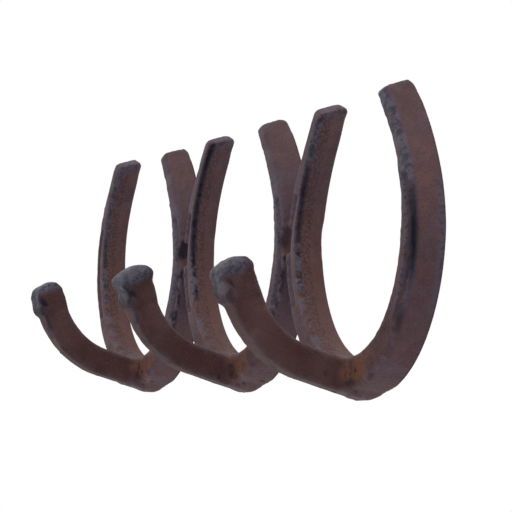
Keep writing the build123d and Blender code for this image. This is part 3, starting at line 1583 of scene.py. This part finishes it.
    def _paint(self, kit: NodeKit, noises: PaintNoise) -> bpy.types.NodeSocket:
        """Mottled paint with stippled and rusty places, and painted warm and cool light on the sides.

        Args:
            kit: The material's tree.
            noises: Its noises.

        Returns:
            The paint's colour.
        """
        stipple = kit.mask(Mask.STIPPLE)
        dots = kit.add("ShaderNodeTexVoronoi", Vector=noises.place, Scale=1.0 / (self.dot_size * MM))
        dots = dots.outputs["Distance"]
        cloudy = self._both(kit, noises.mottle, noises.specks, self.mottle_share)
        rust = kit.times(kit.mask(Mask.RUST), kit.span(noises.mottle, self.rust_patches))
        stray = kit.times(
            kit.span(noises.clouds, self.stray_clouds), kit.span(noises.mottle, self.stray_patches)
        )
        layers = (
            (kit.span(cloudy, self.brown_patches), self.brown),
            (kit.span(noises.tints, self.lilac_tints), self.lilac),
            (kit.span(noises.tints, self.tan_tints), self.tan),
            (kit.times(kit.mask(Mask.HOOK), self.hook_share), self.hook_brown),
            # Painted light: tan where warm light falls, lilac where cool light falls
            (kit.times(kit.mask(Mask.WARM), self.warm_share), self.tan),
            (kit.times(kit.mask(Mask.COOL), self.cool_share), self.lilac),
            (kit.span(noises.clouds, self.pale_clouds), self.pale),
            (kit.times(stipple, kit.span(dots, self.dot_tops)), self.pale),
            (kit.times(stipple, kit.span(dots, self.dot_gaps)), self.deep),
            (kit.math("ADD", rust, stray), self.fresh_rust),
            (kit.span(noises.specks, self.deep_specks), self.deep),
            (kit.span(noises.grain, self.deep_grain), self.deep),
            (kit.span(noises.grain, self.pale_grain), self.pale),
        )
        paint = self.deep
        for share, colour in layers:
            paint = kit.blend(share, paint, colour)
        return paint

    @staticmethod
    def _both(
        kit: NodeKit, first: bpy.types.NodeSocket, second: bpy.types.NodeSocket, share: float
    ) -> bpy.types.NodeSocket:
        """Adds two noises.

        Args:
            kit: The material's tree.
            first: First noise.
            second: Second noise.
            share: Share of the first noise.

        Returns:
            The sum.
        """
        return kit.math("ADD", kit.times(first, share), kit.times(second, 1.0 - share))


@dataclass(frozen=True)
class SoftLight:
    """Square area light that shines on the origin.

    Attributes:
        name: Its name.
        place: Where it stands, in metres.
        power: Its power in watts.
        size: Length of its side, in metres.
        tint: Its colour.
    """

    name: str
    place: Point
    power: float
    size: float
    tint: Colour

    def build(self) -> None:
        """Makes the light."""
        data = bpy.data.lights.new(self.name, "AREA")
        data.energy = self.power
        data.size = self.size
        data.color = self.tint
        light = bpy.data.objects.new(self.name, data)
        light.location = self.place
        light.rotation_mode = "QUATERNION"
        light.rotation_quaternion = (-Vector(self.place)).to_track_quat("-Z", "Y")
        bpy.context.scene.collection.objects.link(light)


@dataclass(frozen=True)
class Studio:
    """White surroundings with soft light, and a floor far below the rack; lengths in metres."""

    floor_colour: Colour = (0.88, 0.88, 0.88)
    floor_drop: float = 0.30
    floor_size: float = 6.0
    sky_strength: float = 0.72
    sky_tint: Colour = (0.97, 0.95, 1.05)
    lights: tuple[SoftLight, ...] = (
        SoftLight("room_side", (-0.9, -1.5, 0.4), power=9.0, size=0.8, tint=(0.76, 0.84, 1.0)),
        SoftLight("overhead", (0.5, -0.2, 1.6), power=13.0, size=0.8, tint=(1.0, 0.95, 0.92)),
    )

    def build(self) -> None:
        """Makes the floor, the world and the lights."""
        self._floor()
        self._world()
        for light in self.lights:
            light.build()

    def _floor(self) -> None:
        """Makes the pale matt floor."""
        half = self.floor_size / 2
        corners = [(-half, -half, 0), (half, -half, 0), (half, half, 0), (-half, half, 0)]
        mesh = bpy.data.meshes.new("floor")
        mesh.from_pydata(corners, [], [(0, 1, 2, 3)])
        floor = bpy.data.objects.new("floor", mesh)
        floor.location.z = CAD_BOX[0].z - self.floor_drop
        bpy.context.scene.collection.objects.link(floor)
        matt = bpy.data.materials.new("pale_floor")
        matt.use_nodes = True
        kit = NodeKit(matt.node_tree)
        shader = kit.add("ShaderNodeBsdfDiffuse", Color=(*self.floor_colour, 1.0))
        kit.add("ShaderNodeOutputMaterial", Surface=shader.outputs["BSDF"])
        mesh.materials.append(matt)

    def _world(self) -> None:
        """Makes the world: white to the camera and in reflections, and an even light on the rack."""
        world = bpy.data.worlds.new("white_room")
        world.use_nodes = True
        bpy.context.scene.world = world
        kit = NodeKit(world.node_tree)
        rays = kit.add("ShaderNodeLightPath").outputs
        mirrored = kit.math("ADD", rays["Is Glossy Ray"], rays["Is Transmission Ray"])
        seen = kit.math("ADD", rays["Is Camera Ray"], mirrored)
        sky = kit.add("ShaderNodeBackground", Color=(*self.sky_tint, 1.0), Strength=self.sky_strength)
        white = kit.add("ShaderNodeBackground", Color=(1.0, 1.0, 1.0, 1.0), Strength=1.0)
        mixed = kit.tree.nodes.new("ShaderNodeMixShader")
        for socket, value in zip(mixed.inputs, (seen, sky.outputs[0], white.outputs[0])):
            kit.feed(socket, value)
        kit.add("ShaderNodeOutputWorld", Surface=mixed.outputs[0])


@dataclass(frozen=True)
class PhotoCamera:
    """Camera at the photograph's viewing angle.

    Attributes:
        azimuth: Degrees round the rack to the right of straight in front.
        rise: Degrees that the camera looks up.
        roll: Degrees that the camera leans.
        focal_pixels: Focal length in pixels of the photograph.
        distance: Metres from the target.
        target: Point on the wall plane that the camera looks at, as x and z in metres.
    """

    azimuth: float = 65.383
    rise: float = 3.827
    roll: float = 1.295
    focal_pixels: float = 2685.5
    distance: float = 0.92457
    target: Pair = (0.00012, -0.00222)

    def build(self) -> None:
        """Makes the camera and gives it to the scene."""
        turn, tilt, lean = (math.radians(angle) for angle in (self.azimuth, self.rise, self.roll))
        ahead = Vector((-math.sin(turn) * math.cos(tilt), math.cos(turn) * math.cos(tilt), math.sin(tilt)))
        level = Vector((math.cos(turn), math.sin(turn), 0.0))
        upright = level.cross(ahead)
        right = level * math.cos(lean) + upright * math.sin(lean)
        up = upright * math.cos(lean) - level * math.sin(lean)
        data = bpy.data.cameras.new("photo_camera")
        data.sensor_width = SENSOR_WIDTH
        data.lens = self.focal_pixels / PHOTO_SIZE * SENSOR_WIDTH
        camera = bpy.data.objects.new("photo_camera", data)
        place = Vector((self.target[0], 0.0, self.target[1])) - ahead * self.distance
        turned = Matrix((right, up, -ahead)).transposed().to_4x4()
        camera.matrix_world = Matrix.Translation(place) @ turned
        bpy.context.scene.collection.objects.link(camera)
        bpy.context.scene.camera = camera


LEFT_SHOE = Shoe(
    size=0.93,
    band_strength=(0.8, 0.25),
    left_band=1.3,
    left_dark_end=106.0,
    right_specks=0.95,
    hook_wear=0.9,
    head_lip=1.0,
    head_top=-0.6,
    head_shift=0.9,
    heel_reach=(0.0, 0.4),
    branch_bow=(0.0, 0.8),
)
MIDDLE_SHOE = Shoe(
    size=0.94,
    band_strength=(1.0, 0.2),
    left_band=1.8,
    left_dark_end=140.0,
    right_specks=0.85,
    hook_wear=0.7,
    head_lip=1.4,
    head_top=1.6,
    head_shift=1.2,
    heel_reach=(1.2, 3.0),
)
RIGHT_SHOE = Shoe(
    size=1.0,
    band_strength=(0.95, 1.0),
    left_band=1.45,
    left_dark_end=117.0,
    right_specks=0.0,
    hook_wear=0.2,
    head_lip=1.2,
    head_top=0.4,
    head_shift=0.3,
    heel_reach=(1.2, 4.0),
    branch_bow=(1.8, 0.0),
)


def main() -> None:
    """Builds the scene and reports its pieces."""
    logging.basicConfig(level=logging.INFO)
    bpy.context.scene.view_settings.view_transform = "Standard"
    row = ShoeRow(ShoeForm(), (LEFT_SHOE, MIDDLE_SHOE, RIGHT_SHOE))
    skin = CastSkin(row).build(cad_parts[NODE], RustedIron().material())
    Studio().build()
    PhotoCamera().build()
    LOG.info("%s: %d vertices, %d faces", skin.name, len(skin.data.vertices), len(skin.data.polygons))


if __name__ == "__main__":
    main()
